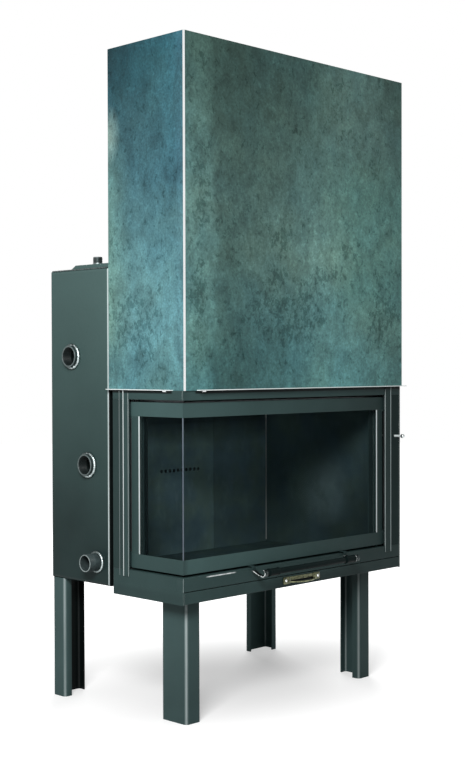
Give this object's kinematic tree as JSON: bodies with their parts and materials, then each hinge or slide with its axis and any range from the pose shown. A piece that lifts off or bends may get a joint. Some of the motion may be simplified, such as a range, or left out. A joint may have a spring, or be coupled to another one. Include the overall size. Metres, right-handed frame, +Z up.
{
  "type": "corner boiler fireplace",
  "caption": "Corner fireplace insert with a water-jacket boiler behind it, a tall sheet hood, a lifting corner-glass door on chains with counterweights, an ash drawer and channel legs.",
  "frame": {"origin": "on the floor under the middle of the whole assembly's bounding box", "axes": "+X to the right along the front, +Y to the back where the boiler stands, +Z up"},
  "size_m": [0.952, 0.6036, 1.777],
  "materials": {
    "frame_paint": "satin heat-proof grey paint with a green cast",
    "boiler_paint": "satin heat-proof grey paint, a little lighter than the frame",
    "hood_steel": "bare steel sheet with a mottled blue-green oxide",
    "bright_trim": "bright metal angle",
    "raw_steel": "plain rolled steel",
    "pipe_steel": "turned and welded pipe steel",
    "fire_plate": "dark heat-proof plate",
    "cast_iron": "dark casting",
    "glass": "clear ceramic glass",
    "rope_seal": "woven glass rope",
    "handle_bar": "dark satin",
    "chrome": "polished",
    "brass": "aged brass"
  },
  "bodies": {
    "boiler": {"left_apron": "frame_paint", "right_casing": "frame_paint", "sills": "frame_paint", "top_rails": "frame_paint", "left_stile": "frame_paint", "right_stile": "frame_paint", "stile_mouldings": "frame_paint", "front_legs": "frame_paint", "rear_legs": "frame_paint", "boiler_left": "boiler_paint", "boiler_right": "boiler_paint", "boiler_back": "boiler_paint", "boiler_top": "boiler_paint", "boiler_bottom": "boiler_paint", "inspection_cover": "boiler_paint", "flue_collar": "boiler_paint", "hood_front": "hood_steel", "hood_left": "hood_steel", "hood_right": "hood_steel", "hood_back": "hood_steel", "hood_top": "hood_steel", "hood_corner_strip": "bright_trim", "base_plate": "raw_steel", "jacket_liners": "raw_steel", "exchanger_tubes": "raw_steel", "smoke_chamber_plates": "raw_steel", "seal_frame": "raw_steel", "guide_rails": "raw_steel", "wheel_brackets": "raw_steel", "lift_chains": "raw_steel", "air_bulkhead": "raw_steel", "vent_nipple": "pipe_steel", "pipe_sockets": "pipe_steel", "lower_nipple": "pipe_steel", "cover_screws": "pipe_steel", "side_linings": "fire_plate", "back_linings": "fire_plate", "hearth_plates": "fire_plate", "smoke_baffle": "fire_plate", "ash_grate": "cast_iron"},
    "door": {"door_bottom_rails": "frame_paint", "door_top_rails": "frame_paint", "door_left_stile": "frame_paint", "door_right_stile": "frame_paint", "front_glass": "glass", "side_glass": "glass", "door_seal": "rope_seal", "lift_handle": "handle_bar", "handle_brackets": "chrome", "guide_shoes": "raw_steel"},
    "left_weight": {"left_counterweight": "cast_iron"},
    "right_weight": {"right_counterweight": "cast_iron"},
    "left_wheel": {"left_chain_wheel": "raw_steel"},
    "right_wheel": {"right_chain_wheel": "raw_steel"},
    "ash_drawer": {"drawer_front": "frame_paint", "ash_tray": "raw_steel", "drawer_pull": "brass"},
    "air_control": {"air_rod": "chrome", "air_knob": "chrome", "air_flap": "raw_steel"}
  },
  "joints": [
    {"name": "door_lift", "type": "slide", "parent": "boiler", "child": "door", "axis": [0, 0, 1], "range_m": [0, 0.43], "deforming": ["lift_chains"]},
    {"name": "left_weight_drop", "type": "slide", "parent": "boiler", "child": "left_weight", "axis": [0, 0, -1], "range_m": [0, 0.43]},
    {"name": "right_weight_drop", "type": "slide", "parent": "boiler", "child": "right_weight", "axis": [0, 0, -1], "range_m": [0, 0.43]},
    {"name": "left_wheel_turn", "type": "hinge", "parent": "boiler", "child": "left_wheel", "pos_m": [-0.398, -0.0034, 1.732], "axis": [-1, 0, 0], "range_deg": [0, 1014]},
    {"name": "right_wheel_turn", "type": "hinge", "parent": "boiler", "child": "right_wheel", "pos_m": [0.434, -0.1924, 1.732], "axis": [-1, 0, 0], "range_deg": [0, 1014]},
    {"name": "drawer_slide", "type": "slide", "parent": "boiler", "child": "ash_drawer", "axis": [0, -1, 0], "range_m": [0, 0.25]},
    {"name": "air_pull", "type": "slide", "parent": "boiler", "child": "air_control", "axis": [0, -1, 0], "range_m": [0, 0.03]}
  ],
  "couplings": [
    {"joint": "left_weight_drop", "follows": "door_lift", "ratio": 1},
    {"joint": "right_weight_drop", "follows": "door_lift", "ratio": 1},
    {"joint": "left_wheel_turn", "follows": "door_lift", "rad_per_m": 41.152},
    {"joint": "right_wheel_turn", "follows": "door_lift", "rad_per_m": 41.152}
  ]
}
